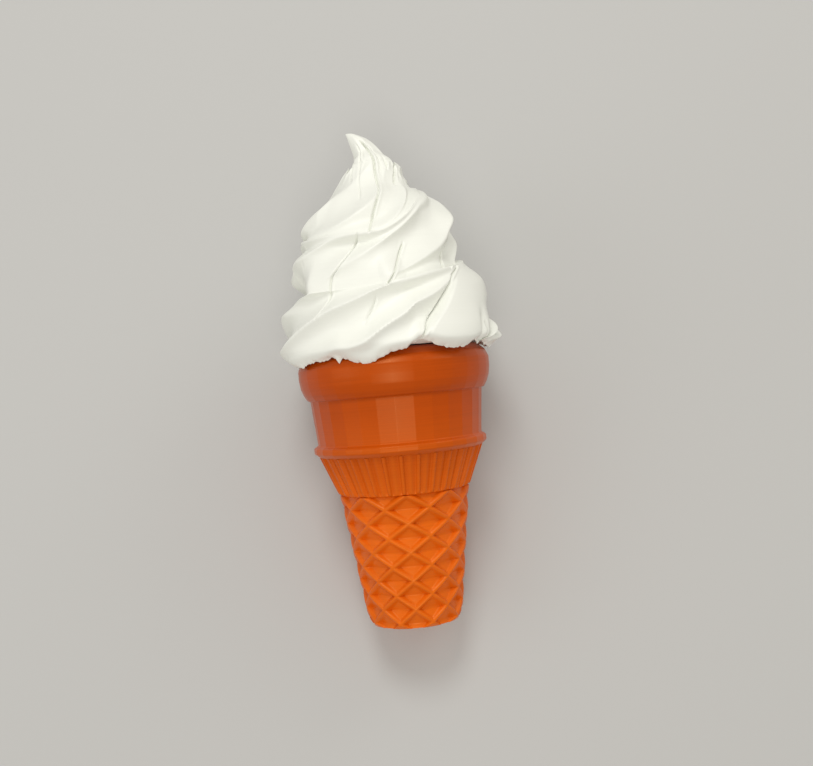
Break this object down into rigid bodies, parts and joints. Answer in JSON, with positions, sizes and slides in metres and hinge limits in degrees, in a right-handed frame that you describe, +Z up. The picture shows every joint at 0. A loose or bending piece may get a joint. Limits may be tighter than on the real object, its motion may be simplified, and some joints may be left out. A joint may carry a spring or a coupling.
{
  "type": "toy ice cream cone",
  "caption": "Toy ice cream cone lying on its side, a waffle cup with a ribbed flare and rolled rim holding a coiled white swirl that ends in a hooked tip.",
  "frame": {"origin": "on the surface the cone lies on, under the middle of its outline", "axes": "+Y along the lying cone towards the tip of the swirl, +Z up, the shown side up"},
  "size_m": [0.0698, 0.1536, 0.0687],
  "materials": {
    "cone": "satin printed plastic, orange brown",
    "swirl": "satin printed plastic, milk white"
  },
  "bodies": {
    "root": {"cone": "cone", "swirl": "swirl"}
  },
  "joints": []
}
